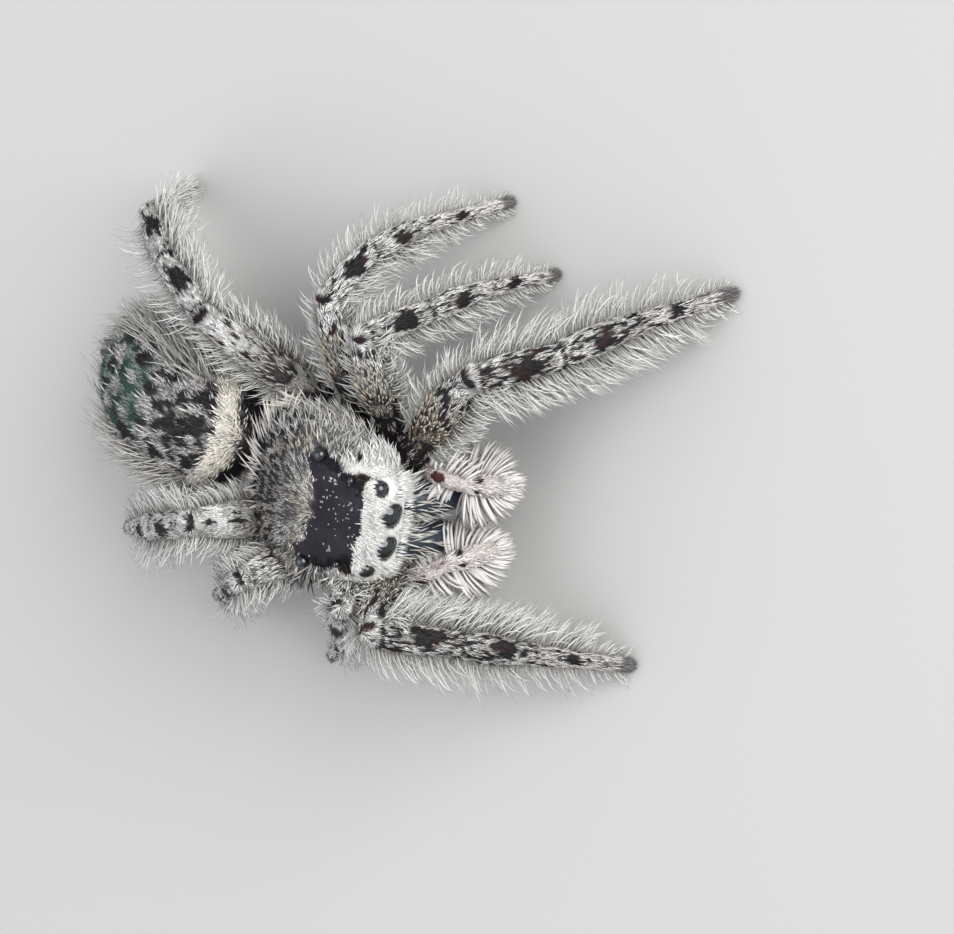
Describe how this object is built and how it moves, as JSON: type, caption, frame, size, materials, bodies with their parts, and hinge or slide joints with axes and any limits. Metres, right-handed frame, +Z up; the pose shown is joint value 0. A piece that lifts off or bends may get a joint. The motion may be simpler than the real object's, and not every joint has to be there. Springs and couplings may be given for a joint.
{
  "type": "jumping spider",
  "caption": "Life-size still model of a grey, white-faced jumping spider standing alert with its legs spread and palps held before its jaws.",
  "frame": {"origin": "middle of the footprint, on the plane that the feet stand on", "axes": "+Z up, the spider faces -Y and its left side is toward +X"},
  "size_m": [0.0108, 0.0135, 0.0049],
  "materials": {
    "carapace_hair": "short grey and white hair lying flat over dark skin",
    "abdomen_hair": "mottled cream, black and pale hair with a green sheen at the rear",
    "leg_hair": "long white hair over black rings",
    "palp_hair": "thick white brush hair",
    "skin": "dark brown horny skin",
    "horn": "hard glossy black horn",
    "eye": "clear, mirror-smooth black lens"
  },
  "bodies": {
    "root": {"abdomen": "abdomen_hair", "spinnerets": "skin", "eye_front_middle_L": "eye", "eye_front_middle_R": "eye", "eye_front_side_L": "eye", "eye_front_side_R": "eye", "eye_rear_middle_L": "eye", "eye_rear_middle_R": "eye", "eye_rear_side_L": "eye", "eye_rear_side_R": "eye", "carapace": "carapace_hair", "sternum": "skin", "chelicera_L": "horn", "chelicera_R": "horn", "fang_L": "horn", "fang_R": "horn", "palp_L_stalk": "palp_hair", "palp_L_brush": "palp_hair", "palp_R_stalk": "palp_hair", "palp_R_brush": "palp_hair", "leg_L1_coxa": "skin", "leg_L1_femur": "leg_hair", "leg_L1_patella": "leg_hair", "leg_L1_tibia": "leg_hair", "leg_L1_foot": "leg_hair", "leg_R1_coxa": "skin", "leg_R1_femur": "leg_hair", "leg_R1_patella": "leg_hair", "leg_R1_tibia": "leg_hair", "leg_R1_foot": "leg_hair", "leg_L2_coxa": "skin", "leg_L2_femur": "leg_hair", "leg_L2_patella": "leg_hair", "leg_L2_tibia": "leg_hair", "leg_L2_foot": "leg_hair", "leg_R2_coxa": "skin", "leg_R2_femur": "leg_hair", "leg_R2_patella": "leg_hair", "leg_R2_tibia": "leg_hair", "leg_R2_foot": "leg_hair", "leg_L3_coxa": "skin", "leg_L3_femur": "leg_hair", "leg_L3_patella": "leg_hair", "leg_L3_tibia": "leg_hair", "leg_L3_foot": "leg_hair", "leg_R3_coxa": "skin", "leg_R3_femur": "leg_hair", "leg_R3_patella": "leg_hair", "leg_R3_tibia": "leg_hair", "leg_R3_foot": "leg_hair", "leg_L4_coxa": "skin", "leg_L4_femur": "leg_hair", "leg_L4_patella": "leg_hair", "leg_L4_tibia": "leg_hair", "leg_L4_foot": "leg_hair", "leg_R4_coxa": "skin", "leg_R4_femur": "leg_hair", "leg_R4_patella": "leg_hair", "leg_R4_tibia": "leg_hair", "leg_R4_foot": "leg_hair"}
  },
  "joints": []
}
